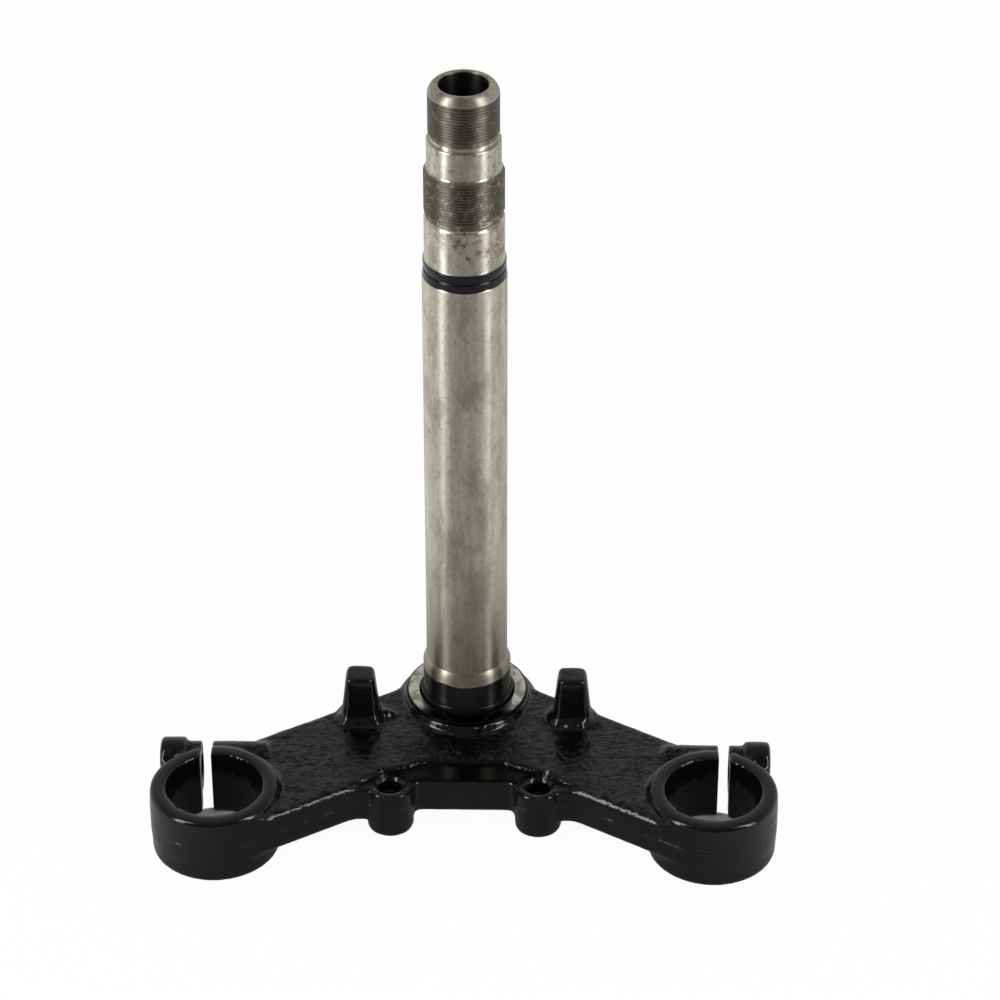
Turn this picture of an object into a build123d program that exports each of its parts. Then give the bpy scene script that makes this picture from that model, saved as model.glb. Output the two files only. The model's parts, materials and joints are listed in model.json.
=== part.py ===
from build123d import *
import os
from math import atan2, cos, pi, radians, sin, sqrt, tan

# Steering stem of a small motorcycle: a hollow turned stem pressed into a forged bottom
# yoke, with a thin steel washer lying on the yoke's boss.
# All sizes are in millimetres. The stem's axis is X = Y = 0 with +Z up along it, the
# fork clamps lie towards -Y, and the lower faces of the clamps are on Z = 0.

# Fork clamps
fork_spacing = 160.5
fork_offset = 52.4
fork_bore_diameter = 31.0
clamp_height = 23.7
clamp_wall = 5.5
clamp_draft = 1.5
clamp_edge_break = 0.8
clamp_root_flare = 1.0
bore_chamfer = 0.4
slit_width = 3.5
slit_shift = 4.2

# Pinch lugs behind the clamps
pinch_bolt_setback = 22.5
lug_radius = 5.3
lug_rise = 3.8
lug_outer_length = 5.2
lug_inner_length = 18.4
lug_end_round = 1.5
head_boss_radius = 6.6
head_boss_length = 8.2
head_boss_round = 1.4
web_reach = 12.0
web_height = 12.0
pinch_clearance_diameter = 8.5
pinch_thread_diameter = 6.8
pinch_thread_depth = 17.0

# Forged plate that joins the clamps to the centre
parting_height = 13.4
plate_thickness = 13.8
plate_top_round = 2.0
plate_bottom_round = 1.4
arm_angle = 32.0
arm_width = 39.5
corner_round = 3.0
shoulder_round = 2.0
arm_root_round = 8.0
waist_round = 6.0
clamp_back_round = 2.5

# Centre boss that holds the stem
boss_top_height = 23.2
boss_diameter = 41.2
boss_root_diameter = 47.0
boss_foot_diameter = 40.0
boss_edge_break = 0.6
boss_root_flare = 0.7

# Stepped front edge with its two threaded bosses
step_depth = 1.3
step_setback = 34.6
step_half_width = 12.0
step_shoulder = 29.0
step_shoulder_setback = 41.2
step_end = 37.0
step_end_setback = 48.6
bracket_boss_setback = 45.2
bracket_boss_diameter = 15.2
front_face_inset = 1.2
shoulder_overhang = 4.1
shoulder_run = 5.25
bracket_boss_foot = 2.5
bracket_boss_round = 1.0
bracket_thread_diameter = 6.8
bracket_sink_diameter = 10.6
bracket_sink_angle = 100.0

# Steering stops
stop_spacing = 69.8
stop_setback = 9.6
stop_height = 16.7
stop_top_width = 9.2
stop_top_depth = 9.0
stop_top_corner = 2.2
stop_foot_setback = 10.4
stop_foot_width = 12.6
stop_foot_depth = 10.8
stop_foot_corner = 3.4
stop_edge_round = 0.9
stop_root_height = 1.4
stop_root_flare = 0.8
root_depth = 2.2
root_inset = 0.15

# Turned stem, from its top down
stem_height = 250.0
stem_bore_diameter = 15.0
stem_lip = 0.7
crown_width = 1.5
crown_height = 2.4
top_thread_diameter = 22.0
top_thread_length = 14.4
relief_depth = 0.5
relief_length = 1.2
neck_diameter = 23.0
neck_length = 9.6
bearing_thread_diameter = 25.0
bearing_thread_length = 15.0
cone_length = 1.2
groove_depth = 0.4
groove_length = 1.4
land_diameter = 25.0
land_length = 14.7
band_diameter = 26.0
band_length = 5.7
band_groove_length = 0.8
band_groove_depth = 0.35
tube_diameter = 26.6
seat_diameter = 28.8
seat_length = 13.1
seat_lead = 2.6
edge_break = 0.4
collar_diameter = 30.4
collar_height = 3.0
press_gap = 0.02

# Washer on the boss
washer_outer_diameter = 40.4
washer_inner_diameter = 31.6
washer_thickness = 1.0
washer_edge_break = 0.2

# Sizes that follow from the ones above
fork_x = fork_spacing / 2
clamp_radius = fork_bore_diameter / 2 + clamp_wall
plate_top = parting_height + plate_thickness / 2
plate_bottom = parting_height - plate_thickness / 2
slit_x = fork_x + slit_shift
pinch_y = -fork_offset + pinch_bolt_setback
lug_outer_x = slit_x + slit_width / 2 + lug_outer_length
lug_inner_x = slit_x - slit_width / 2 - lug_inner_length
head_boss_x = lug_outer_x + head_boss_length
stem_socket_diameter = seat_diameter + 2 * press_gap
step_floor = plate_top - step_depth
front_face_setback = bracket_boss_setback - front_face_inset
shoulder_face_setback = bracket_boss_setback + shoulder_overhang
turn = radians(arm_angle)
tangent_x = fork_x - clamp_radius * sin(turn)
tangent_setback = fork_offset + clamp_radius * cos(turn)
arm_root_x = tangent_x - (tangent_setback - shoulder_face_setback) / tan(turn)
bracket_boss_radius = bracket_boss_diameter / 2
bracket_x = arm_root_x - shoulder_run - sqrt(bracket_boss_radius**2 - shoulder_overhang**2)
stop_x = stop_spacing / 2
fork_places = [(-fork_x, -fork_offset), (fork_x, -fork_offset)]
bracket_places = [(-bracket_x, -bracket_boss_setback), (bracket_x, -bracket_boss_setback)]
sides = (-1, 1)
edge_tolerance = 0.01


def arm_point(along, across):
    """Plan point of the right arm: along it from the fork axis, across it towards the front."""
    x = fork_x - along * cos(turn) - across * sin(turn)
    y = -fork_offset + along * sin(turn) - across * cos(turn)
    return (x, y)


def half_outline_points():
    """Corners of the right half of the plan, each where two of its lines or arcs meet."""
    back = clamp_radius - arm_width
    centre_r = boss_root_diameter / 2
    inset_reach = sqrt(bracket_boss_radius**2 - front_face_inset**2)
    stem_along = fork_x * cos(turn) + fork_offset * sin(turn)
    stem_across = fork_x * sin(turn) - fork_offset * cos(turn)
    return {
        "front": (0, -front_face_setback),
        "boss_in": (bracket_x - inset_reach, -front_face_setback),
        "boss_front": (bracket_x, -bracket_boss_setback - bracket_boss_radius),
        "boss_out": (arm_root_x - shoulder_run, -shoulder_face_setback),
        "arm_root": (arm_root_x, -shoulder_face_setback),
        "tangent": (tangent_x, -tangent_setback),
        "clamp_side": (fork_x + clamp_radius, -fork_offset),
        "clamp_back": arm_point(sqrt(clamp_radius**2 - back**2), back),
        "waist": arm_point(stem_along - sqrt(centre_r**2 - (back - stem_across) ** 2), back),
        "back": (0, centre_r),
    }


def plate_outline():
    """Plan view of the forging: two arms swept forward, a round centre and two front bosses."""
    p = half_outline_points()
    waist_angle = atan2(p["waist"][1], p["waist"][0])
    between = (waist_angle + pi / 2) / 2
    centre_r = boss_root_diameter / 2
    with BuildSketch() as outline:
        with BuildLine():
            Line(p["front"], p["boss_in"])
            ThreePointArc(p["boss_in"], p["boss_front"], p["boss_out"])
            Line(p["boss_out"], p["arm_root"])
            Line(p["arm_root"], p["tangent"])
            ThreePointArc(p["tangent"], p["clamp_side"], p["clamp_back"])
            Line(p["clamp_back"], p["waist"])
            ThreePointArc(p["waist"], (centre_r * cos(between), centre_r * sin(between)), p["back"])
            Line(p["back"], p["front"])
        make_face()
        rounds = {
            "boss_in": corner_round,
            "boss_out": shoulder_round,
            "arm_root": arm_root_round,
            "waist": waist_round,
            "clamp_back": clamp_back_round,
        }
        for name, radius in rounds.items():
            corner = outline.vertices().sort_by_distance((*p[name], 0))[0]
            fillet(corner, radius)
        mirror(about=Plane.YZ)
    return outline.sketch


def clamp_plane(side):
    """Upright plane through a clamp's axis, with its X outwards from that axis."""
    return Plane(origin=(side * fork_x, -fork_offset, 0), x_dir=(1, 0, 0), z_dir=(0, -1, 0))


def clamp_axis(side):
    """Axis of a clamp's bore."""
    return Axis((side * fork_x, -fork_offset, 0), (0, 0, 1))


def clamp_blank(side):
    """One fork clamp before boring, drafted both ways from the parting line."""
    draft = tan(radians(clamp_draft))
    foot_radius = clamp_radius - (parting_height - clamp_edge_break) * draft
    rim_edge = clamp_height - clamp_edge_break
    rim_radius = clamp_radius - (rim_edge - parting_height) * draft
    with BuildPart() as blank:
        with BuildSketch(clamp_plane(side)):
            with BuildLine():
                Polyline(
                    (0, 0),
                    (foot_radius - clamp_edge_break, 0),
                    (foot_radius, clamp_edge_break),
                    (clamp_radius, parting_height),
                    (rim_radius, rim_edge),
                    (rim_radius - clamp_edge_break, clamp_height),
                    (0, clamp_height),
                    close=True,
                )
            make_face()
        revolve(axis=clamp_axis(side))
    return blank.part


def clamp_root(side):
    """Flare where a clamp rises out of the plate's top, inside the plate's plan."""
    foot = plate_top - root_depth
    core = fork_bore_diameter / 2
    skirt = clamp_radius + clamp_root_flare
    with BuildPart() as root:
        with BuildSketch(clamp_plane(side)):
            with BuildLine():
                Polyline(
                    (core, foot),
                    (skirt, foot),
                    (skirt, plate_top),
                    (clamp_radius - clamp_root_flare, plate_top + 2 * clamp_root_flare),
                    (core, plate_top + 2 * clamp_root_flare),
                    close=True,
                )
            make_face()
        revolve(axis=clamp_axis(side))
        with BuildSketch(Plane.XY.offset(foot)):
            add(plate_outline())
            offset(amount=-root_inset, mode=Mode.REPLACE)
        extrude(amount=clamp_height, mode=Mode.INTERSECT)
    return root.part


def centre_boss():
    """Round boss around the stem, from the resting plane up to the washer."""
    foot_radius = boss_foot_diameter / 2
    radius = boss_diameter / 2
    with BuildPart() as boss:
        with BuildSketch(Plane.XZ):
            with BuildLine():
                Polyline(
                    (0, 0),
                    (foot_radius - boss_edge_break, 0),
                    (foot_radius, boss_edge_break),
                    (radius, plate_bottom),
                    (radius + boss_root_flare, plate_top - boss_root_flare),
                    (radius + boss_root_flare, plate_top),
                    (radius, plate_top + boss_root_flare),
                    (radius, boss_top_height - boss_edge_break),
                    (radius - boss_edge_break, boss_top_height),
                    (0, boss_top_height),
                    close=True,
                )
            make_face()
        revolve(axis=Axis.Z)
    return boss.part


def stop_post(side):
    """Steering stop: a tapered post that flares at its root and stays inside the plate's plan."""
    sections = [
        (plate_top - root_depth, stop_foot_setback, stop_root_flare),
        (plate_top, stop_foot_setback, stop_root_flare),
        (plate_top + stop_root_height, stop_foot_setback, 0),
    ]
    with BuildPart() as post:
        for height, setback, flare in sections:
            with BuildSketch(Plane.XY.offset(height)):
                with Locations((side * stop_x, -setback)):
                    RectangleRounded(
                        stop_foot_width + 2 * flare,
                        stop_foot_depth + 2 * flare,
                        stop_foot_corner + flare,
                    )
        with BuildSketch(Plane.XY.offset(plate_top + stop_height)):
            with Locations((side * stop_x, -stop_setback)):
                RectangleRounded(stop_top_width, stop_top_depth, stop_top_corner)
        loft(ruled=True)
        fillet(post.faces().sort_by(Axis.Z)[-1].edges(), stop_edge_round)
        with BuildSketch(Plane.XY.offset(plate_top - root_depth)):
            add(plate_outline())
            offset(amount=-root_inset, mode=Mode.REPLACE)
        extrude(amount=root_depth + stop_height, mode=Mode.INTERSECT)
    return post.part


def pinch_lugs(side):
    """Bar behind a clamp that the slit parts into two lugs, with a head boss at its outer end."""
    start = Plane(origin=(side * lug_inner_x, pinch_y, parting_height), x_dir=(0, 1, 0), z_dir=(side, 0, 0))
    shelf = Plane(origin=(side * lug_outer_x, pinch_y, parting_height), x_dir=(0, 1, 0), z_dir=(side, 0, 0))
    with BuildPart() as lugs:
        with BuildSketch(start):
            SlotCenterToCenter(2 * lug_rise, 2 * lug_radius, rotation=90)
        extrude(amount=lug_outer_x - lug_inner_x)
        fillet(lugs.faces().sort_by(Axis.X)[0 if side > 0 else -1].edges(), lug_end_round)
        with BuildSketch(shelf):
            SlotCenterToCenter(2 * lug_rise, 2 * head_boss_radius, rotation=90)
        extrude(amount=head_boss_length)
        fillet(lugs.faces().sort_by(Axis.X)[-1 if side > 0 else 0].edges(), head_boss_round)
        with Locations((side * (slit_x + head_boss_x) / 2, pinch_y - web_reach / 2, parting_height)):
            Box(head_boss_x - slit_x - 2 * head_boss_round, web_reach, web_height)
    return lugs.part


def front_step():
    """Plan of the shallow step along the front edge, seen from above."""
    half = [
        (0, -step_setback),
        (step_half_width, -step_setback),
        (step_shoulder, -step_shoulder_setback),
        (step_end, -step_end_setback),
        (step_end, -fork_offset - clamp_radius),
        (0, -fork_offset - clamp_radius),
    ]
    with BuildSketch() as step:
        with BuildLine():
            Polyline(*half, close=True)
        make_face()
        mirror(about=Plane.YZ)
    return step.sketch


def round_edges(body, radius):
    """Circular edges of a body that have the given radius."""
    edges = body.edges().filter_by(GeomType.CIRCLE)
    return edges.filter_by(lambda edge: abs(edge.radius - radius) < edge_tolerance)


def stem_section():
    """Half section of the turned stem, as radius and height, from the foot of its bore round."""
    bore = stem_bore_diameter / 2
    top = top_thread_diameter / 2
    neck = neck_diameter / 2
    thread = bearing_thread_diameter / 2
    land = land_diameter / 2
    band = band_diameter / 2
    tube = tube_diameter / 2
    seat = seat_diameter / 2
    collar = collar_diameter / 2
    band_lip = (band_length - band_groove_length) / 2
    crown_z = stem_height - crown_height
    relief_z = crown_z - top_thread_length
    neck_z = relief_z - relief_length
    cone_z = neck_z - neck_length
    thread_z = cone_z - cone_length
    groove_z = thread_z - bearing_thread_length
    land_z = groove_z - groove_length
    band_z = land_z - land_length
    tube_z = band_z - band_length
    collar_z = boss_top_height + collar_height
    seat_z = collar_z + seat_length
    return [
        (bore, 0),
        (bore, stem_height - stem_lip),
        (bore + stem_lip, stem_height),
        (top - crown_width, stem_height),
        (top, crown_z),
        (top, relief_z),
        (top - relief_depth, relief_z),
        (top - relief_depth, neck_z),
        (neck - edge_break, neck_z),
        (neck, neck_z - edge_break),
        (neck, cone_z),
        (thread, thread_z),
        (thread, groove_z),
        (thread - groove_depth, groove_z),
        (thread - groove_depth, land_z + edge_break),
        (land, land_z),
        (land, band_z),
        (band, band_z),
        (band, band_z - band_lip),
        (band - band_groove_depth, band_z - band_lip),
        (band - band_groove_depth, tube_z + band_lip),
        (band, tube_z + band_lip),
        (band, tube_z),
        (tube - edge_break / 2, tube_z),
        (tube, tube_z - edge_break),
        (tube, seat_z),
        (seat, seat_z - seat_lead),
        (seat, collar_z),
        (collar - edge_break, collar_z),
        (collar, collar_z - edge_break),
        (collar, boss_top_height),
        (seat, boss_top_height),
        (seat, edge_break),
        (seat - edge_break, 0),
    ]


# Bottom yoke: one forging, machined afterwards
with BuildPart() as bottom_yoke:
    # Plate with rolled edges
    with BuildSketch(Plane.XY.offset(plate_bottom)):
        add(plate_outline())
    extrude(amount=plate_thickness)
    fillet(bottom_yoke.faces().sort_by(Axis.Z)[-1].edges(), plate_top_round)
    fillet(bottom_yoke.faces().sort_by(Axis.Z)[0].edges(), plate_bottom_round)
    # Feet of the two bosses in the front edge
    with BuildSketch(Plane.XY.offset(bracket_boss_foot)):
        with Locations(*bracket_places):
            Circle(bracket_boss_radius)
    extrude(amount=parting_height - bracket_boss_foot)
    feet = bottom_yoke.edges().filter_by_position(Axis.Z, bracket_boss_foot - 0.1, bracket_boss_foot + 0.1)
    fillet(feet, bracket_boss_round)
    # Steering stops
    for side in sides:
        add(stop_post(side))
    # Centre boss
    add(centre_boss())
    # Clamps and their pinch lugs
    for side in sides:
        add(clamp_blank(side))
        add(clamp_root(side))
        add(pinch_lugs(side))
    # Step along the front edge
    with BuildSketch(Plane.XY.offset(step_floor)):
        add(front_step())
    extrude(amount=clamp_height, mode=Mode.SUBTRACT)
    # Bores for the fork tubes, with broken edges, and for the stem
    with Locations(*[(x, y, clamp_height) for x, y in fork_places]):
        Hole(fork_bore_diameter / 2, depth=clamp_height)
    chamfer(round_edges(bottom_yoke, fork_bore_diameter / 2), bore_chamfer)
    with Locations((0, 0, boss_top_height)):
        Hole(stem_socket_diameter / 2, depth=boss_top_height)
    # Slits and pinch bolt holes
    for side in sides:
        with Locations((side * slit_x, pinch_y - clamp_radius / 2, clamp_height / 2)):
            Box(slit_width, clamp_radius + 2 * head_boss_radius, clamp_height, mode=Mode.SUBTRACT)
        entry = Plane(
            origin=(side * head_boss_x, pinch_y, parting_height),
            x_dir=(0, 1, 0),
            z_dir=(side, 0, 0),
        )
        with Locations(entry):
            Hole(pinch_clearance_diameter / 2, depth=head_boss_x - slit_x)
            Hole(pinch_thread_diameter / 2, depth=head_boss_x - slit_x + slit_width / 2 + pinch_thread_depth)
    # Countersunk threaded holes in the front bosses
    with Locations(*[(x, y, step_floor) for x, y in bracket_places]):
        CounterSinkHole(
            radius=bracket_thread_diameter / 2,
            counter_sink_radius=bracket_sink_diameter / 2,
            depth=step_floor - bracket_boss_foot,
            counter_sink_angle=bracket_sink_angle,
        )

bottom_yoke.part.label = "bottom_yoke"

# Steering stem: one turned and bored tube
with BuildPart() as steering_stem:
    with BuildSketch(Plane.XZ):
        with BuildLine():
            Polyline(*stem_section(), close=True)
        make_face()
    revolve(axis=Axis.Z)
steering_stem.part.label = "steering_stem"

# Washer that lies on the boss around the stem's collar
with BuildPart() as seat_washer:
    with BuildSketch(Plane.XY.offset(boss_top_height)):
        Circle(washer_outer_diameter / 2)
        Circle(washer_inner_diameter / 2, mode=Mode.SUBTRACT)
    extrude(amount=washer_thickness)
    chamfer(seat_washer.edges(), washer_edge_break)
seat_washer.part.label = "seat_washer"

os.makedirs("parts", exist_ok=True)
for piece in (bottom_yoke, steering_stem, seat_washer):
    export_step(piece.part, f"parts/{piece.part.label}.step")
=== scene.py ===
# %% [markdown]
# # Steering stem of a small motorcycle
# The part has a forged and painted bottom yoke, a turned stem that is pressed into it, and a
# thin washer that lies where the two meet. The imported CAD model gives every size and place, so
# it is loaded first and each new piece is fitted to it.

# %% Load the frame
import json
import math

import bpy
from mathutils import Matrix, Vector

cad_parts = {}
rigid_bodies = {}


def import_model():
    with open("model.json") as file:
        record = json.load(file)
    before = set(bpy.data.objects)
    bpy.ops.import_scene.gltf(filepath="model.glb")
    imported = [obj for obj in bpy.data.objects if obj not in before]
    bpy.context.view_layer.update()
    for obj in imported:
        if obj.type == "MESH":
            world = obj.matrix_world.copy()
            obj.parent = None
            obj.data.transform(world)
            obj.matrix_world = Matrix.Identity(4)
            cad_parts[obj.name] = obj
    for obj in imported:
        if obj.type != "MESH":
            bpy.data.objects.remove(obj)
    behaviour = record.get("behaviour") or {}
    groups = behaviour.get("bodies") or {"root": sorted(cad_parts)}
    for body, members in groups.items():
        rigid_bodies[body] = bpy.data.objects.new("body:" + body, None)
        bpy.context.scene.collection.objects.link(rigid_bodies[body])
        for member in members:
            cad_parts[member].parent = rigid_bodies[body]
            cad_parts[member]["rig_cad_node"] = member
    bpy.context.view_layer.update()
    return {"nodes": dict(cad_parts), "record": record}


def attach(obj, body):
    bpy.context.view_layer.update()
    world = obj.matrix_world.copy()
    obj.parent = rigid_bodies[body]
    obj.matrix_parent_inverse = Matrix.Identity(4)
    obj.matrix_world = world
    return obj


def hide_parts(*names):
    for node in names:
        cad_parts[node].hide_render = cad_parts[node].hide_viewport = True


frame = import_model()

MM = 0.001

# %% [markdown]
# ## Places from the record
# The record that comes with the CAD model names each bore, thread and bolt hole. The places and
# radii that the new pieces share with it are read there, so the two can't drift apart. The rest
# are drawing sizes, all in millimetres, and each gets its name where it is first needed.

# %% Places and radii
mounts = {mount["name"]: mount for mount in frame["record"]["mounts"]}


def mount_place(name):
    """Where one of the record's mounts is, in mm."""
    return [round(value / MM, 3) for value in mounts[name]["pos_m"]]


def mount_radius(name):
    """The radius of one of the record's mounts, in mm."""
    return mounts[name]["dims"]["r_mm"]


FORK_X, FORK_Y, _ = mount_place("fork_clamp_right")
HOLE_X, HOLE_Y, _ = mount_place("bracket_hole_right")
_, PINCH_Y, PINCH_Z = mount_place("pinch_hole_right")
FORK_R = mount_radius("fork_clamp_right")
BORE_R = mount_radius("stem_bore")
print("fork bore at", FORK_X, FORK_Y, "front hole at", HOLE_X, HOLE_Y, "pinch bolt at", PINCH_Y, PINCH_Z)

# %% [markdown]
# ## Small tools for modelling
# An operator acts on whatever is selected, and loading leaves the CAD nodes selected. So each
# step starts by selecting one piece, and picks its corners in edit mode by their place.

# %% Selecting


def only(piece):
    """Selects one piece and nothing else."""
    bpy.ops.object.select_all(action="DESELECT")
    piece.select_set(True)
    bpy.context.view_layer.objects.active = piece
    return piece


def pick(piece, wanted):
    """Goes into edit mode with the corners selected for which wanted(vertex) is true."""
    only(piece)
    bpy.ops.object.mode_set(mode="EDIT")
    bpy.ops.mesh.select_mode(type="VERT")
    bpy.ops.mesh.select_all(action="DESELECT")
    bpy.ops.object.mode_set(mode="OBJECT")
    for vertex in piece.data.vertices:
        vertex.select = wanted(vertex)
    bpy.ops.object.mode_set(mode="EDIT")


def clean(piece, gap=0.002 * MM):
    """Merges doubled corners and turns all faces outwards."""
    only(piece)
    bpy.ops.object.mode_set(mode="EDIT")
    bpy.ops.mesh.select_all(action="SELECT")
    bpy.ops.mesh.remove_doubles(threshold=gap)
    bpy.ops.mesh.normals_make_consistent(inside=False)
    bpy.ops.object.mode_set(mode="OBJECT")
    return piece


def settle(piece, angle=32):
    """Puts a piece's place into its mesh and shades it smooth up to an angle."""
    only(piece)
    bpy.ops.object.transform_apply(location=True, rotation=True, scale=True)
    bpy.ops.object.shade_smooth_by_angle(angle=math.radians(angle))
    return piece


def apply_modifier(piece, kind, **settings):
    """Adds a modifier, gives it its settings and applies it."""
    only(piece)
    modifier = piece.modifiers.new(kind.title(), kind)
    for name, value in settings.items():
        setattr(modifier, name, value)
    bpy.ops.object.modifier_apply(modifier=modifier.name)
    return piece


def tell(piece):
    """Prints a piece's size in millimetres and its number of faces."""
    size = [round(value / MM, 2) for value in piece.dimensions]
    print(piece.name, "size in mm:", size, "faces:", len(piece.data.polygons))


# %% [markdown]
# ## Turning a profile
# Everything round on this part came off a lathe. The same is done here: one corner of a plane
# is kept and extruded along half of the section, and that line is spun once around the Z axis.
# The section is written as radius and height in millimetres, so it reads like a drawing.

# %% Line and spin


def section_line(name, section):
    """An edge line through points given as radius and height in mm, in the plane Y = 0."""
    start = Vector((section[0][0], 0, section[0][1])) * MM
    bpy.ops.object.select_all(action="DESELECT")
    bpy.ops.mesh.primitive_plane_add(size=2 * MM, location=(0, 0, 0))
    line = bpy.context.object
    line.name = line.data.name = name
    pick(line, lambda vertex: vertex.index > 0)
    bpy.ops.mesh.delete(type="VERT")
    bpy.ops.mesh.select_all(action="SELECT")
    bpy.ops.transform.translate(value=start - Vector((-MM, -MM, 0)))
    for (r0, z0), (r1, z1) in zip(section, section[1:]):
        step = Vector((r1 - r0, 0, z1 - z0)) * MM
        bpy.ops.mesh.extrude_region_move(TRANSFORM_OT_translate={"value": step})
    bpy.ops.object.mode_set(mode="OBJECT")
    return line


def turned(name, section, steps=144):
    """A round piece: a closed section spun once around the Z axis."""
    piece = section_line(name, section)
    bpy.ops.object.mode_set(mode="EDIT")
    bpy.ops.mesh.select_all(action="SELECT")
    bpy.ops.mesh.spin(steps=steps, angle=math.tau, center=(0, 0, 0), axis=(0, 0, 1))
    bpy.ops.object.mode_set(mode="OBJECT")
    return clean(piece)


def moved(piece, x=0, y=0, z=0):
    """Moves a piece's mesh by a distance in mm."""
    only(piece)
    bpy.ops.object.mode_set(mode="EDIT")
    bpy.ops.mesh.select_all(action="SELECT")
    bpy.ops.transform.translate(value=Vector((x, y, z)) * MM)
    bpy.ops.object.mode_set(mode="OBJECT")
    return piece


def joined(name, pieces):
    """Joins pieces into the first one."""
    only(pieces[0])
    for piece in pieces:
        piece.select_set(True)
    bpy.ops.object.join()
    pieces[0].name = pieces[0].data.name = name
    return pieces[0]


# %% [markdown]
# ## The forged yoke
# On the real part the yoke is forged hot and then painted, so nothing on it has a crisp edge
# but the machined bores and slits. The CAD node has the right sizes and crisp edges all over.
# A copy of it is rebuilt as small even squares and smoothed, which rounds each edge and each
# inner corner a little, as a forging die does. The machined places are cut afterwards.

# %% Copy the CAD yoke
only(frame["nodes"]["bottom_yoke"])
bpy.ops.object.duplicate()
yoke = bpy.context.object
yoke.name = yoke.data.name = "forged_yoke"
yoke.parent = None
# The copy is a new piece, so it drops the mark that calls it a CAD node.
del yoke["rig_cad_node"]
clean(yoke, gap=0.01 * MM)
tell(yoke)

# %% [markdown]
# The steering stops stand in an uneven bead of metal, and two stray drops of metal stuck to the
# forging. A bead could be swept along a path, but a swept bead is too even. So a ring of small
# balls of different sizes is set around each foot, and the rebuild melts them into one bead.

# %% Beads around the stops
STOP_X, STOP_Y, PLATE_TOP = 34.9, -10.4, 20.3
BEAD_X, BEAD_Y, BEAD_BACK = 6.6, 5.7, 3.4
BALL_R, BALL_WOBBLE = 1.45, 0.5


def drop(radius, x, y, z):
    """One ball of metal, in mm."""
    bpy.ops.object.select_all(action="DESELECT")
    place = Vector((x, y, z)) * MM
    bpy.ops.mesh.primitive_ico_sphere_add(subdivisions=2, radius=radius * MM, location=place)
    return bpy.context.object


def bead(side, count=22):
    """Small balls around the front and sides of the foot of one stop."""
    balls = []
    for i in range(count):
        turn = math.tau * i / count
        wobble = math.sin(5.1 * i + side) * math.cos(2.3 * i * side)
        corner = 1 + 0.16 * math.sin(2 * turn) ** 2
        x = side * STOP_X + BEAD_X * corner * math.cos(turn)
        y = STOP_Y + BEAD_Y * corner * math.sin(turn)
        if y <= STOP_Y + BEAD_BACK:
            balls.append(drop(BALL_R + BALL_WOBBLE * wobble, x, y, PLATE_TOP + 0.2))
    return balls


drops = [drop(2.0, -26.2, -10.6, 20.6), drop(1.1, 4.6, -20.7, 22.7)]
yoke = joined("forged_yoke", [yoke] + drops + bead(-1) + bead(1))
tell(yoke)

# %% [markdown]
# The rounding could be a bevel on each edge, but bevels fail where many edges meet in a sharp
# corner, as at the lugs. The voxel rebuild doesn't mind what meets where. Its squares are small
# enough to keep the shallow step along the front edge.

# %% Rebuild and smooth
VOXEL = 0.75 * MM
apply_modifier(yoke, "REMESH", mode="VOXEL", voxel_size=VOXEL, adaptivity=0)
apply_modifier(yoke, "SMOOTH", factor=0.5, iterations=5)
tell(yoke)

# %% [markdown]
# The forging's skin is not flat: scale left shallow dents all over it, and the paint follows
# them. They are too wide for a bump pattern, because they move the reflections, so the mesh
# itself is pushed in and out by two cloud patterns, most of all on its upward faces. The faces
# that were machined flat are kept out of the group that this acts on.

# %% Dents in the forged skin
STEP_TOP, STEP_BACK = 19.0, -36
CLAMP_TOP = 23.7
BOSS_R = 24.5
FACING_UP = 0.7
CALM_SHARE = 0.35
DENTS = (("wide_dents", 6.0, 0.20), ("small_dents", 1.6, 0.22))


def machined(x, y, z, facing):
    """True at a corner of a flat face: the boss, the front step, a bore or a clamp's end."""
    boss = z > PLATE_TOP + 0.4 and math.hypot(x, y) < BOSS_R
    step = STEP_TOP - 0.5 < z < STEP_TOP + 0.5 and y < STEP_BACK and facing
    bore = math.hypot(abs(x) - FORK_X, y - FORK_Y) < FORK_R + 0.9
    clamp_end = z < 0.6 or CLAMP_TOP - 0.9 < z < CLAMP_TOP + 0.3
    return boss or step or bore or clamp_end


forged = yoke.vertex_groups.new(name="forged")
rough, calm = [], []
for vertex in yoke.data.vertices:
    facing = vertex.normal.z > FACING_UP
    if not machined(*(value / MM for value in vertex.co), facing):
        (rough if facing else calm).append(vertex.index)
forged.add(rough, 1.0, "REPLACE")
forged.add(calm, CALM_SHARE, "REPLACE")
for name, scale, strength in DENTS:
    clouds = bpy.data.textures.new(name, "CLOUDS")
    clouds.noise_scale = scale * MM
    clouds.noise_depth = 1
    apply_modifier(
        yoke,
        "DISPLACE",
        texture=clouds,
        texture_coords="LOCAL",
        direction="NORMAL",
        mid_level=0.5,
        strength=strength * MM,
        vertex_group="forged",
    )
print("forged corners:", len(rough), "calm corners:", len(calm))

# %% [markdown]
# ## Machined places
# The bores, the slits and the bolt holes were cut into the finished forging, so their edges are
# crisp. The rebuild has rounded them, so they are cut again at their true size. Each cutter is
# a hair wider than the hole in the CAD model, so it leaves no rag of the old wall.

# %% Round cutters
BORE_CUT = FORK_R + 0.08
HOLE_CUT = mount_radius("bracket_hole_right") + 0.1
MOUTH_R, SINK_R = 17.9, 7.1

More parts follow.
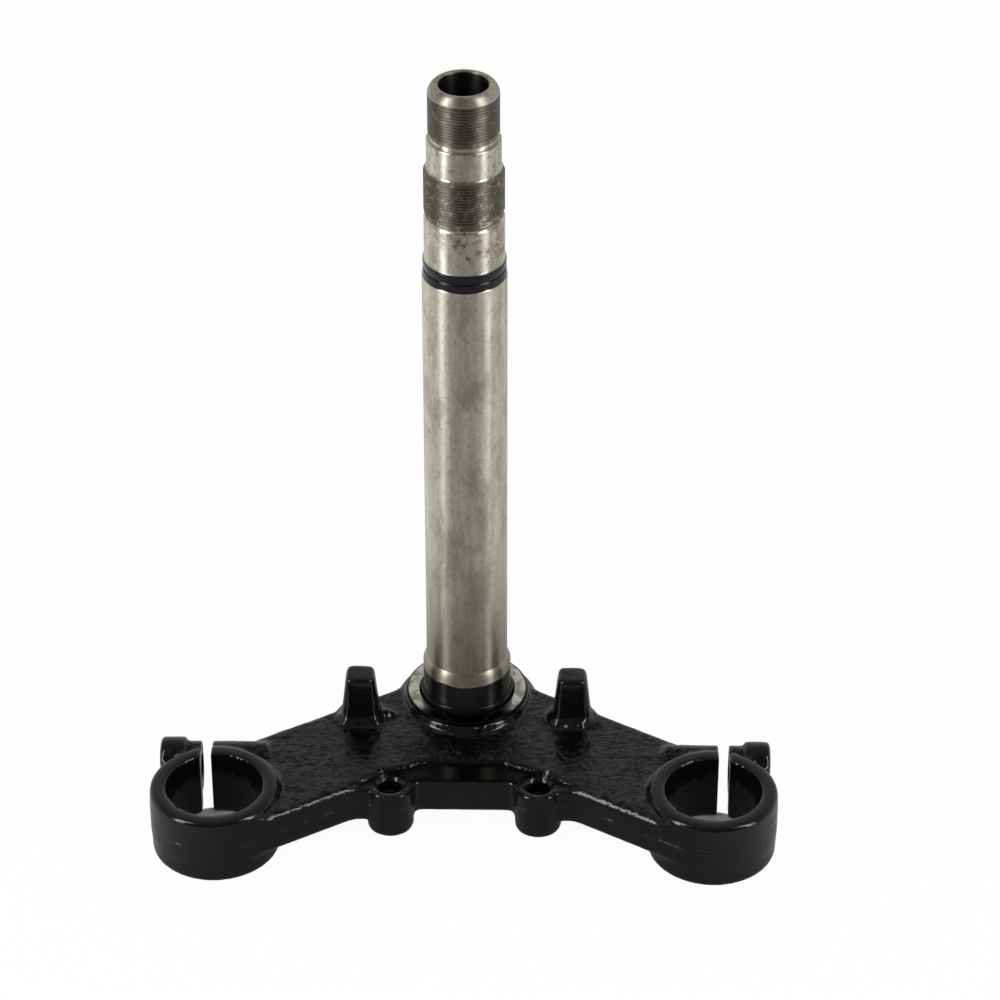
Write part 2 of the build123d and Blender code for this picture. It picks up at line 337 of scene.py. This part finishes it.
bore_section = [
    (0, -2), (MOUTH_R, -2), (BORE_CUT, 0.4), (BORE_CUT, CLAMP_TOP - 0.4), (MOUTH_R, CLAMP_TOP + 2),
    (0, CLAMP_TOP + 2), (0, -2),
]
sink_section = [
    (0, -2), (HOLE_CUT, -2), (HOLE_CUT, 17.5), (SINK_R, 20.6), (SINK_R, 22), (0, 22), (0, -2),
]
cutters = []
for side in (-1, 1):
    cutters.append(moved(turned("bore_cutter", bore_section), side * FORK_X, FORK_Y))
    cutters.append(moved(turned("sink_cutter", sink_section, 64), side * HOLE_X, HOLE_Y))
print("round cutters:", len(cutters))

# %% [markdown]
# A saw cut splits each clamp at its rear, and the pinch bolt draws the two halves together. The
# bolt's hole is wide on the outer side of the cut and tapped on the inner side. The cut is a
# plain block, and the hole is a turned tool that is laid on its side.

# %% Slits and bolt holes
SLIT_X = 84.45
SLIT_SIZE = (3.6, 30, 30)
BOLT_CUT = mount_radius("pinch_hole_right") + 0.05
TAPPED_CUT = mount_radius("pinch_thread_right") + 0.1
OUTER_END, INNER_END = 102, 65.7


def slit_cutter(side):
    """A block as wide as the saw cut."""
    bpy.ops.object.select_all(action="DESELECT")
    bpy.ops.mesh.primitive_cube_add(size=1)
    block = bpy.context.object
    block.name = "slit_cutter"
    block.scale = Vector(SLIT_SIZE) * MM
    bpy.ops.object.transform_apply(location=False, rotation=False, scale=True)
    return moved(block, side * SLIT_X, PINCH_Y - 4.5, 12)


def drill(side, radius, first, last):
    """A round cutter along X between two distances from the middle."""
    section = [(0, first), (radius, first), (radius, last), (0, last), (0, first)]
    tool = turned("drill", section, 48)
    bpy.ops.object.mode_set(mode="EDIT")
    bpy.ops.mesh.select_all(action="SELECT")
    bpy.ops.transform.rotate(value=-side * math.pi / 2, orient_axis="Y", center_override=(0, 0, 0))
    bpy.ops.object.mode_set(mode="OBJECT")
    return clean(moved(tool, 0, PINCH_Y, PINCH_Z))


for side in (-1, 1):
    cutters.append(slit_cutter(side))
    cutters.append(drill(side, BOLT_CUT, SLIT_X, OUTER_END))
    cutters.append(drill(side, TAPPED_CUT, INNER_END, SLIT_X + 1))
for tool in cutters:
    tell(tool)

# %% [markdown]
# The cutters are taken away one after the other. The exact solver is slower than the fast one,
# but it copes with walls that nearly touch, as a new bore's and the rounded old one's do.

# %% Cut
for tool in cutters:
    apply_modifier(yoke, "BOOLEAN", operation="DIFFERENCE", solver="EXACT", object=tool)
    bpy.data.objects.remove(tool)
settle(yoke, 38)
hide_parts("bottom_yoke")
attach(yoke, "root")
tell(yoke)

# %% [markdown]
# ## The turned stem
# The stem is one bar turned to many diameters and bored through. It could be stacked from
# cylinders, but their joints would show. One section is spun instead, written from the foot of
# the bore, up inside, over the rounded crown and back down the outside. Under each thread it
# takes the thread's root, because the thread itself is a helix added afterwards.

# %% Section and body
ROUND_STEPS = 160
BEVEL_ANGLE = math.radians(24)
TOP_CREST, TOP_ROOT = mount_radius("top_thread"), 10.4
LOW_CREST, LOW_ROOT = mount_radius("bearing_thread"), 11.9
LAND_R = mount_radius("upper_bearing_land")
NECK_R, TUBE_R, COLLAR_R = 13.0, 13.3, 15.2
SEAT_R = mount_radius("lower_bearing_seat")
COLLAR_FOOT = 23.2

crown = [
    (BORE_R, 0), (BORE_R, 249.0), (7.6, 249.5), (7.85, 249.85), (8.3, 250), (9.0, 250),
    (9.5, 249.8), (10.1, 249.2), (10.6, 248.4), (10.9, 247.7), (TOP_CREST, 247.2),
]
thread_roots = [
    (TOP_ROOT, 246.9), (TOP_ROOT, 233.5), (10.5, 233.2), (10.5, 232.0), (11.1, 232.0),
    (11.5, 231.7), (11.5, 222.6), (LOW_ROOT, 222.1), (LOW_ROOT, 206.6),
]
land_and_neck = [
    (12.1, 206.3), (12.1, 205.2), (LAND_R, 204.8), (LAND_R, 190.5), (12.9, 190.3),
    (NECK_R, 190.1), (NECK_R, 187.9), (12.68, 187.7), (12.68, 187.1), (NECK_R, 186.9),
    (NECK_R, 184.8), (13.1, 184.6),
]
tube_and_foot = [
    (TUBE_R, 184.3), (TUBE_R, 39.3), (13.5, 38.9), (SEAT_R, 36.7), (SEAT_R, 26.2), (14.9, 26.2),
    (COLLAR_R, 25.9), (COLLAR_R, COLLAR_FOOT), (SEAT_R, COLLAR_FOOT), (SEAT_R, 0.4), (14.0, 0),
    (BORE_R, 0),
]
stem = turned("turned_stem", crown + thread_roots + land_and_neck + tube_and_foot, ROUND_STEPS)


def bevelled(piece, width):
    """Rounds the sharp edges of a turned piece by a width in mm."""
    settings = {"width": width * MM, "segments": 2, "limit_method": "ANGLE"}
    return clean(apply_modifier(piece, "BEVEL", angle_limit=BEVEL_ANGLE, **settings))


tell(bevelled(stem, 0.12))

# %% [markdown]
# A fine thread is a ridge that climbs one pitch in each turn. A bump pattern would do from
# afar, but the stem's outline shows the ridges. The ridge's section is a small trapezium, and
# the Screw modifier winds it around the stem. Its two ends are closed, and the finished ridge
# sinks a little into the body so that no gap shows.

# %% Threads


def thread(name, crest, root, low, turns, pitch=1.0):
    """A helical ridge from its lowest height up, in mm."""
    sunk = root - 0.15
    section = [
        (sunk, low), (crest - 0.05, low + 0.34), (crest, low + 0.40), (crest, low + 0.56),
        (crest - 0.05, low + 0.62), (sunk, low + 0.96), (sunk, low),
    ]
    ridge = clean(section_line(name, section))
    apply_modifier(
        ridge,
        "SCREW",
        axis="Z",
        angle=math.tau,
        screw_offset=pitch * MM,
        iterations=turns,
        steps=96,
        render_steps=96,
        use_merge_vertices=False,
    )
    bpy.ops.object.mode_set(mode="EDIT")
    bpy.ops.mesh.select_all(action="SELECT")
    bpy.ops.mesh.fill_holes(sides=8)
    bpy.ops.object.mode_set(mode="OBJECT")
    return clean(ridge)


ridges = [
    thread("top_thread", TOP_CREST, TOP_ROOT, low=233.6, turns=13),
    thread("bearing_thread", LOW_CREST, LOW_ROOT, low=206.7, turns=14),
]
stem = joined("turned_stem", [stem] + ridges)
settle(stem, 30)
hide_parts("steering_stem")
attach(stem, "root")
tell(stem)

# %% [markdown]
# ## The washer
# It is a plain ring punched from sheet steel, which leaves its outer edge rolled over. Its
# section is spun like the stem's, with that edge drawn slanted, so that it catches the light
# in a thin line around the rim.

# %% Washer
WASHER_IN, WASHER_OUT = 15.8, 20.2
WASHER_TOP = COLLAR_FOOT + 1.0
washer_section = [
    (WASHER_IN, COLLAR_FOOT), (WASHER_IN, 24.1), (15.9, WASHER_TOP), (19.6, WASHER_TOP),
    (WASHER_OUT, 23.9), (WASHER_OUT, 23.4), (20.0, COLLAR_FOOT), (WASHER_IN, COLLAR_FOOT),
]
washer = bevelled(turned("thin_washer", washer_section, ROUND_STEPS), 0.06)
settle(washer, 30)
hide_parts("seat_washer")
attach(washer, "root")
tell(washer)

# %% [markdown]
# ## Writing finishes as sums
# A finish is a net of small nodes. It could be wired by hand, one link after the other, but as
# Python sums it is much shorter and reads like the idea behind it. So a small class wraps one
# socket, and each sum on it adds a Math node.

# %% Shader sums


class Value:
    """One number or link of a net of nodes, on which sums can be written."""

    def __init__(self, net, link):
        self.net = net
        self.link = link

    def sum(self, operation, *values):
        """The output of one Math node."""
        return self.net.node("ShaderNodeMath", {"operation": operation}, *values)[0]

    def __add__(self, other):
        return self.sum("ADD", self, other)

    def __radd__(self, other):
        return self.sum("ADD", other, self)

    def __sub__(self, other):
        return self.sum("SUBTRACT", self, other)

    def __rsub__(self, other):
        return self.sum("SUBTRACT", other, self)

    def __mul__(self, other):
        return self.sum("MULTIPLY", self, other)

    def __rmul__(self, other):
        return self.sum("MULTIPLY", other, self)

    def __abs__(self):
        return self.sum("ABSOLUTE", self)

    def most(self, other):
        """The larger of the two."""
        return self.sum("MAXIMUM", self, other)


class Net:
    """A node tree and the one method that adds nodes to it."""

    def __init__(self, tree):
        self.tree = tree

    def join(self, value, socket):
        """Links a value to a socket, or writes a plain number or colour on it."""
        if isinstance(value, Value):
            self.tree.links.new(value.link, socket)
        else:
            socket.default_value = value

    def node(self, kind, settings, *values, **named):
        """Adds a node, sets it up and joins its sockets; its outputs are read by number or name."""
        node = self.tree.nodes.new(kind)
        for name, value in settings.items():
            setattr(node, name, value)
        for socket, value in zip(node.inputs, values):
            self.join(value, socket)
        for name, value in named.items():
            self.join(value, node.inputs[name])
        outputs = {socket.name: Value(self, socket) for socket in node.outputs if socket.enabled}
        outputs.update({i: Value(self, socket) for i, socket in enumerate(node.outputs)})
        return outputs

    def shown(self, shader, output):
        """Joins a shader to the tree's output node."""
        self.join(shader, self.tree.nodes[output].inputs["Surface"])

    def length(self, x, y):
        """Distance from 0 to a place in a plane."""
        place = self.node("ShaderNodeCombineXYZ", {}, x, y)[0]
        return self.node("ShaderNodeVectorMath", {"operation": "LENGTH"}, place)["Value"]

    def soft(self, value, low, high):
        """0 below low and 1 above high, with a soft step between."""
        node = self.node(
            "ShaderNodeMapRange",
            {"interpolation_type": "SMOOTHSTEP"},
            **{"Value": value, "From Min": low, "From Max": high, "To Min": 0.0, "To Max": 1.0},
        )
        return node["Result"]

    def band(self, value, low, high, edge):
        """1 between two values and 0 outside them."""
        below = self.soft(value, low - edge, low + edge)
        above = self.soft(value, high - edge, high + edge)
        return below * (1 - above)

    def blend(self, mask, first, second):
        """Colour that goes from the first to the second as the mask goes from 0 to 1."""
        node = self.tree.nodes.new("ShaderNodeMix")
        node.data_type = "RGBA"
        self.join(mask, node.inputs["Factor"])
        for name, colour in (("A", first), ("B", second)):
            socket = [s for s in node.inputs if s.name == name and s.type == "RGBA"][0]
            self.join(colour if isinstance(colour, Value) else (*colour, 1.0), socket)
        return Value(self, [s for s in node.outputs if s.type == "RGBA"][0])


# %% [markdown]
# A real surface is marked by what was done to it: cut, rubbed, stained, painted. Each mark has a
# size, so the patterns here take their size in millimetres, from the piece's own coordinates,
# and stay in place when the piece moves.

# %% Finishes


class Finish(Net):
    """A material whose patterns are measured in millimetres."""

    def __init__(self, name):
        self.material = bpy.data.materials.new(name)
        self.material.use_nodes = True
        super().__init__(self.material.node_tree)
        self.shader = self.tree.nodes["Principled BSDF"]
        self.place = self.node("ShaderNodeTexCoord", {})["Object"]
        split = self.node("ShaderNodeSeparateXYZ", {}, self.place)
        self.x, self.y, self.z = (split[i] * (1 / MM) for i in range(3))

    def noise(self, size, detail=3.0, rough=0.5, stretch=(1, 1, 1), shift=0.0):
        """Soft random pattern with spots of about the given size in mm."""
        scale = [1 / (size * MM * part) for part in stretch]
        mapped = self.node(
            "ShaderNodeMapping",
            {},
            **{"Vector": self.place, "Scale": scale, "Location": (shift, shift * 1.7, shift * 0.6)},
        )["Vector"]
        pattern = self.node(
            "ShaderNodeTexNoise",
            {"noise_dimensions": "3D"},
            **{"Vector": mapped, "Scale": 1.0, "Detail": detail, "Roughness": rough},
        )
        return pattern[0]

    def bump(self, height, depth, strength=1.0, below=None):
        """Bends the surface by a height pattern of the given depth in mm."""
        wired = {"Height": height, "Distance": depth * MM, "Strength": strength}
        if below is not None:
            wired["Normal"] = below
        return self.node("ShaderNodeBump", {}, **wired)["Normal"]

    def set(self, **sockets):
        """Joins values to the shader's sockets, with _ for a space in a name."""
        for name, value in sockets.items():
            self.join(value, self.shader.inputs[name.replace("_", " ")])

    def cover(self, piece):
        """Makes this the piece's only material."""
        piece.data.materials.clear()
        piece.data.materials.append(self.material)
        print(self.material.name, "nodes:", len(self.tree.nodes))


# %% [markdown]
# ## Black paint on the forging
# The paint is nearly black, and what shows is the light it throws back. So its colour stays
# dark, and the finish is made by where it shines. First come masks for the places on the yoke:
# upward faces, the flat ones that were machined, the plate in front of each stop, and the
# outside of the clamps.

# %% Places in the paint
paint = Finish("black_yoke_paint")
normal = paint.node("ShaderNodeNewGeometry", {})["Normal"]
upward = paint.soft(paint.node("ShaderNodeSeparateXYZ", {}, normal)["Z"], 0.6, 0.9)
off_boss = paint.soft(paint.length(paint.x, paint.y), BOSS_R - 1.0, BOSS_R + 0.5)
on_boss = (1 - off_boss) * paint.soft(paint.z, PLATE_TOP + 0.2, PLATE_TOP + 0.6)
on_step = paint.band(paint.z, STEP_TOP - 0.6, STEP_TOP + 0.6, 0.15) * paint.soft(paint.y, -50, -44) * upward
# The plate between the front bosses, in front of the stem, where the paint's mirror is taken away: painted
# shade.
painted_shade_middle = paint.band(paint.x, -21, 21, 4) * paint.band(paint.y, -44, -24, 2.5) * upward
even = on_boss.most(paint.soft(paint.z, CLAMP_TOP - 1.3, CLAMP_TOP - 0.8)).most(on_step)
from_stop = paint.length(abs(paint.x) - STOP_X, paint.y - STOP_Y + 7)
by_stop = 1 - paint.soft(from_stop, 8, 14)
from_fork = paint.length(abs(paint.x) - FORK_X, paint.y - FORK_Y)
outside = paint.soft(from_fork, FORK_R + 0.7, FORK_R + 1.1)

# %% [markdown]
# Waves two millimetres wide and finer streaks run over the upward faces and break the
# reflections up; the flat and upright faces are calmer. A broken seam shows where the halves of
# the die met. Where dirt or rubbing has dulled the paint, Metallic is raised over the black,
# which takes its mirror away. On the front step and the plate in front of the stem it is raised
# as well, as painted shade: it hides the stem's reflection there, so they stay dark. A rough
# patch would do too, but it would turn grey.

# %% Yoke paint
PAINT_BLACK = (0.0025, 0.0025, 0.0025)
PAINT_DUSTY = (0.008, 0.008, 0.0077)
DIE_SEAM = (13.1, 13.7)

waves = paint.noise(1.9, 2.0, 0.5) * (0.3 + upward * 0.7) * (1 - even.most(by_stop * 0.6) * 0.9)
streaks = paint.noise(1.3, 3.0, 0.6, stretch=(2.4, 1, 1), shift=17.0)
ripples = paint.soft(streaks, 0.54, 0.62) * upward * (1 - even.most(by_stop * 0.8))
dirt = paint.noise(1.8, 4.0, 0.65, stretch=(1.7, 1, 1), shift=29.0)
dull = paint.soft(dirt, 0.50, 0.62) * upward * (1 - even)
peel = paint.noise(0.9, 3.0, 0.6, shift=3.0)
patches = paint.noise(9.0, 3.0, 0.6, shift=7.0)
seam = paint.band(paint.z, *DIE_SEAM, 0.25) * (1 - upward) * outside * paint.soft(patches, 0.40, 0.58)
dust = paint.soft(paint.noise(2.4, 5.0, 0.7, shift=11.0), 0.56, 0.74)
rippled = paint.bump(waves + ripples * 0.35, 0.24, 0.9)
peeled = paint.bump(peel, 0.04, 0.6, rippled)
paint.set(
    Base_Color=paint.blend(dust * (0.3 + upward * 0.7), PAINT_BLACK, PAINT_DUSTY),
    Roughness=0.11 + patches * 0.08 + dust * 0.10,
    # On the step and the middle plate this hides the stem's reflection: painted shade.
    Metallic=(on_step * 0.85).most(painted_shade_middle * 0.5).most(dull * 0.65),
    Normal=paint.bump(seam, 0.26, 0.8, peeled),
    Specular_IOR_Level=0.42,
)
paint.cover(yoke)

# %% [markdown]
# ## Turned steel
# The stem is one piece of steel with several finishes along it: bright turned faces, threads
# dark with old grease, a blackened neck, and a black seat at the foot. They could be separate
# materials on separate faces, but old grease and paint don't end on a face's edge. Each is a
# band of height instead, and a little noise keeps some of the borders from being ruled.

# %% Bands along the stem
steel = Finish("turned_stem_steel")
ragged = steel.z + (steel.noise(6.0, 3.0, 0.6) - 0.5) * 1.2
on_top_thread = steel.band(steel.z, 233.2, 247.3, 0.2)
on_low_thread = steel.band(steel.z, 205.6, 222.2, 0.2)
on_threads = on_top_thread.most(on_low_thread)
on_land = steel.band(steel.z, 192.5, 204.0, 1.6)
on_neck = steel.band(steel.z, 184.5, 190.35, 0.06)
on_foot = 1 - steel.soft(ragged, 38.0, 41.0)
on_seat = 1 - steel.soft(ragged, 34.4, 35.0)
on_crown = steel.soft(steel.z, 247.2, 247.8)
# Painted shade: inside the bore the steel is painted near black.
inside = 1 - steel.soft(steel.length(steel.x, steel.y), BORE_R + 0.1, BORE_R + 0.5)

# %% [markdown]
# Over the bare steel lie long marks from the lathe and from wear, wide blotches and small pits.
# Towards its foot the steel is made darker, a painted shade where the stem mirrors the black
# yoke, and the crown is mottled. Inside the bore the steel is painted near black, a painted shade
# of the deep hole. The layers are laid one over the other: bare steel first, then blotches, pits,
# the painted shade and the crown's mottling, stains, grease, the blackened neck, the bore's
# painted shade, and the black seat last. The lathe's fine grooves run around the stem, so the
# shine is drawn out along it, which Anisotropic does.

# %% Stem steel
STEEL_DARK, STEEL_BRIGHT = (0.46, 0.43, 0.35), (0.74, 0.71, 0.61)
BLOTCH_BROWN, PIT_BROWN = (0.36, 0.33, 0.26), (0.16, 0.14, 0.11)
SHADE_AND_MOTTLE_GREY, STAIN_BROWN, GREASE_GREY = (0.25, 0.235, 0.185), (0.17, 0.13, 0.07), (0.19, 0.17, 0.145)
NECK_BLACK, BORE_SHADE_BLACK, SEAT_BLACK = (0.042, 0.039, 0.044), (0.03, 0.028, 0.025), (0.004, 0.004, 0.004)

fine = steel.noise(1.0, 4.0, 0.6, stretch=(1, 1, 0.35), shift=2.0)
long_marks = steel.noise(2.6, 4.0, 0.6, stretch=(1, 1, 14), shift=5.0)
blotch = steel.noise(7.0, 4.0, 0.65, stretch=(1, 1, 2.2), shift=9.0)
rubbed_bare = steel.soft(steel.noise(2.4, 4.0, 0.7, shift=13.0), 0.50, 0.66)
worn = rubbed_bare * (on_top_thread * 0.5 + on_low_thread)
stain = steel.soft(steel.noise(6.5, 5.0, 0.72, shift=24.0), 0.50, 0.64) * on_land
# Painted shade: the steel grows darker towards its foot, where it mirrors the black yoke.
painted_low_shade = (1 - steel.soft(ragged + blotch * 24, 50, 98)) * 0.5
pits = steel.soft(steel.noise(1.7, 5.0, 0.75, shift=31.0), 0.52, 0.64)
pitted = pits * (0.3 + steel.soft(steel.z, 190, 206) * 0.35)
# Below the crown this darkening is painted shade; on the crown it is the steel's own mottling.
low_shade_and_crown_mottle = painted_low_shade.most(on_foot * 0.7).most(on_crown * blotch * 0.9)

colour = steel.blend(steel.soft(long_marks * 0.6 + fine * 0.4, 0.3, 0.7), STEEL_DARK, STEEL_BRIGHT)
for mask, layer in (
    (steel.soft(blotch, 0.46, 0.66) * 0.7, BLOTCH_BROWN),
    (pitted, PIT_BROWN),
    (low_shade_and_crown_mottle, SHADE_AND_MOTTLE_GREY),
    (stain * 0.85, STAIN_BROWN),
    (on_threads * (1 - worn * 0.75), GREASE_GREY),
    (on_neck, NECK_BLACK),
    (inside, BORE_SHADE_BLACK),
    (on_seat, SEAT_BLACK),
):
    colour = steel.blend(mask, colour, layer)

grooves = steel.bump(steel.noise(0.5, 2.0, 0.5, stretch=(60, 60, 0.5), shift=4.0), 0.012, 0.5)
rougher = on_threads.most(on_crown) * 0.12 + stain * 0.2
steel.set(
    Base_Color=colour,
    Roughness=0.30 + long_marks * 0.10 + rougher - on_neck.most(on_seat) * 0.12,
    Metallic=1.0 - on_seat,
    Normal=steel.bump(fine, 0.03, 0.35, grooves),
    Specular_IOR_Level=0.25,
    Anisotropic=0.75,
    Anisotropic_Rotation=0.25,
)
steel.cover(stem)

# %% [markdown]
# The washer is bare sheet steel, smeared and finely scratched. The paint of the yoke has run
# over its rim. Its front part is painted black, a painted reflection of the stem's black seat
# that it mirrors there. Both are one mask over the same metal, so that the shine runs on
# without a break.

# %% Washer steel
SHEET_BRIGHT, SHEET_BROWN, RIM_PAINT_AND_SHADE_BLACK = (0.72, 0.70, 0.62), (0.34, 0.32, 0.27), (0.004, 0.004, 0.004)
sheet_steel = Finish("bare_sheet_steel")
smear = sheet_steel.noise(4.0, 4.0, 0.6)
scratch = sheet_steel.noise(0.8, 3.0, 0.6, stretch=(1, 6, 1), shift=5.0)
from_axis = sheet_steel.length(sheet_steel.x, sheet_steel.y)
painted_rim = sheet_steel.soft(from_axis, WASHER_OUT - 1.0, WASHER_OUT - 0.5)
# Painted reflection: the front part of the washer is painted black, for the black seat it mirrors.
painted_dark_front = 1 - sheet_steel.soft(sheet_steel.y + smear * 6, -11.5, -6.0)
smeared = sheet_steel.blend(sheet_steel.soft(smear, 0.42, 0.62), SHEET_BRIGHT, SHEET_BROWN)
sheet_steel.set(
    Base_Color=sheet_steel.blend(painted_rim.most(painted_dark_front) * 0.985, smeared, RIM_PAINT_AND_SHADE_BLACK),
    Roughness=0.16 + smear * 0.12,
    Metallic=1.0,
    Normal=sheet_steel.bump(scratch, 0.02, 0.4),
)
sheet_steel.cover(washer)

# %% [markdown]
# ## Floor, light and camera
# The part stands on a plain white floor. A floor that is white from light alone would burn out
# the steel beside it, so it is lit softly and glows by itself for two kinds of rays. What the
# camera sees is white. What the steel and the paint mirror is a dimmer floor, darkest near the
# part and towards the camera, because a mirrored white floor would turn black paint grey. The
# floor within the two fork bores keeps its real shadow.

# %% Floor
FLOOR_DROP = 0.2 * MM
MIRROR_LOW, WHITE = (0.1, 0.1, 0.1), (1, 1, 1)

bpy.ops.object.select_all(action="DESELECT")
bpy.ops.mesh.primitive_plane_add(size=8, location=(0, 0, -FLOOR_DROP))
floor = bpy.context.object
floor.name = floor.data.name = "studio_floor"
settle(floor)
ground = Finish("pale_floor")
ground.set(Base_Color=(0.80, 0.80, 0.80, 1), Roughness=0.9, Specular_IOR_Level=0.0)
from_fork = ground.length(abs(ground.x) - FORK_X, ground.y - FORK_Y)
out_of_bore = ground.soft(from_fork, FORK_R + 1.9, FORK_R + 2.9)
far_off = ground.soft(ground.length(ground.x * 0.9, ground.y + 25), 70, 150)
rearward = ground.soft(ground.y, -190, 60)
# The mirrored floor is also dimmer to the right of and behind the part, which darkens the stem's right edge
# in reflection.
far_right = ground.soft(ground.x, 5, 60) * ground.soft(ground.y, -20, 60)
level = (0.19 + rearward * 0.81) * (0.15 + far_off * 0.85) * out_of_bore * (1 - far_right * 0.35)
path = ground.node("ShaderNodeLightPath", {})
seen = path["Is Camera Ray"]
mirrored = path["Is Glossy Ray"].most(path["Is Transmission Ray"])
tone = ground.blend(seen.most(level), MIRROR_LOW, WHITE)
glow = ground.node("ShaderNodeEmission", {}, tone, 1.0)[0]
share = seen * 0.96 * out_of_bore + mirrored * (0.85 - far_off * 0.15)
lit = Value(ground, ground.shader.outputs[0])
ground.shown(ground.node("ShaderNodeMixShader", {}, share, lit, glow)[0], "Material Output")
ground.cover(floor)

# %% [markdown]
# The room around the part is a white tent. The camera sees it plain white, and it lights the
# part with an even grey. In the paint and the steel it is mirrored as a tent that is bright
# behind the part, and dark in front and overhead, which gives black paint its depth.

# %% World
TENT_FRONT, TENT_REAR = (0.11, 0.11, 0.11), (0.70, 0.70, 0.70)

world = bpy.data.worlds.new("studio")
bpy.context.scene.world = world
world.use_nodes = True
studio = Net(world.node_tree)
toward = studio.node("ShaderNodeSeparateXYZ", {}, studio.node("ShaderNodeTexCoord", {})["Generated"])
rear_wall = studio.soft(toward["Y"], -0.5, 0.55) * (1 - studio.soft(toward["Z"], 0.35, 0.85) * 0.65)
tent_tone = studio.blend(rear_wall, TENT_FRONT, TENT_REAR)
tent = studio.node("ShaderNodeBackground", {}, tent_tone)[0]
plain = studio.node("ShaderNodeBackground", {}, (0.45, 0.45, 0.45, 1))[0]
white = studio.node("ShaderNodeBackground", {}, (*WHITE, 1))[0]
path = studio.node("ShaderNodeLightPath", {})
mirrored = path["Is Glossy Ray"].most(path["Is Transmission Ray"])
room = studio.node("ShaderNodeMixShader", {}, mirrored, plain, tent)[0]
studio.shown(studio.node("ShaderNodeMixShader", {}, path["Is Camera Ray"], room, white)[0], "World Output")
print("world nodes:", len(studio.tree.nodes))

# %% [markdown]
# Two tall soft lamps stand left and right, in front of the part and above it. Each draws one
# light line down the stem and along the arms' edges. A lamp's width sets the width of its line,
# so the left one, whose line is wider, is the wider one.

# %% Lamps
AIM = Vector((0, -0.02, 0.1))
LAMP_ELEVATION, LAMP_DISTANCE, LAMP_HEIGHT = 28, 1.3, 1.35


def soft_lamp(name, azimuth, width, watts):
    """A tall soft lamp around the part; azimuth 0 is in front of it, and right is positive."""
    turn, rise = math.radians(azimuth), math.radians(LAMP_ELEVATION)
    away = Vector((math.sin(turn) * math.cos(rise), -math.cos(turn) * math.cos(rise), math.sin(rise)))
    data = bpy.data.lights.new(name, "AREA")
    data.shape = "RECTANGLE"
    data.size, data.size_y = width, LAMP_HEIGHT
    data.energy = watts
    lamp = bpy.data.objects.new(name, data)
    bpy.context.collection.objects.link(lamp)
    lamp.location = AIM + away * LAMP_DISTANCE
    lamp.rotation_euler = away.to_track_quat("Z", "Y").to_euler()
    print(name, "at", [round(value, 2) for value in lamp.location])
    return lamp


soft_lamp("lamp_left", azimuth=-59, width=0.30, watts=11.5)
soft_lamp("lamp_right", azimuth=62, width=0.24, watts=9.3)

# %% [markdown]
# The camera was fitted to the outlines of the clamps and the stem. It stands about 1.3 metres
# away, looks down by 34 degrees, and has a long lens, so upright lines stay nearly parallel.

# %% Camera
CAMERA_PLACE = (0.02586, -0.99665, 0.77663)
LOOK_DOWN, LOOK_LEFT = 34.189, 0.858
LENS, SENSOR = 134.92, 36

view = bpy.data.cameras.new("view")
view.sensor_width = SENSOR
view.lens = LENS
view.clip_end = 50
camera = bpy.data.objects.new("camera", view)
bpy.context.collection.objects.link(camera)
camera.location = CAMERA_PLACE
camera.rotation_euler = (math.radians(90 - LOOK_DOWN), 0, math.radians(LOOK_LEFT))
bpy.context.scene.camera = camera
print("camera at", CAMERA_PLACE)

# %% [markdown]
# ## Colour view
# The colours are shown as they are.

# %% Finish
scene = bpy.context.scene
scene.view_settings.view_transform = "Standard"
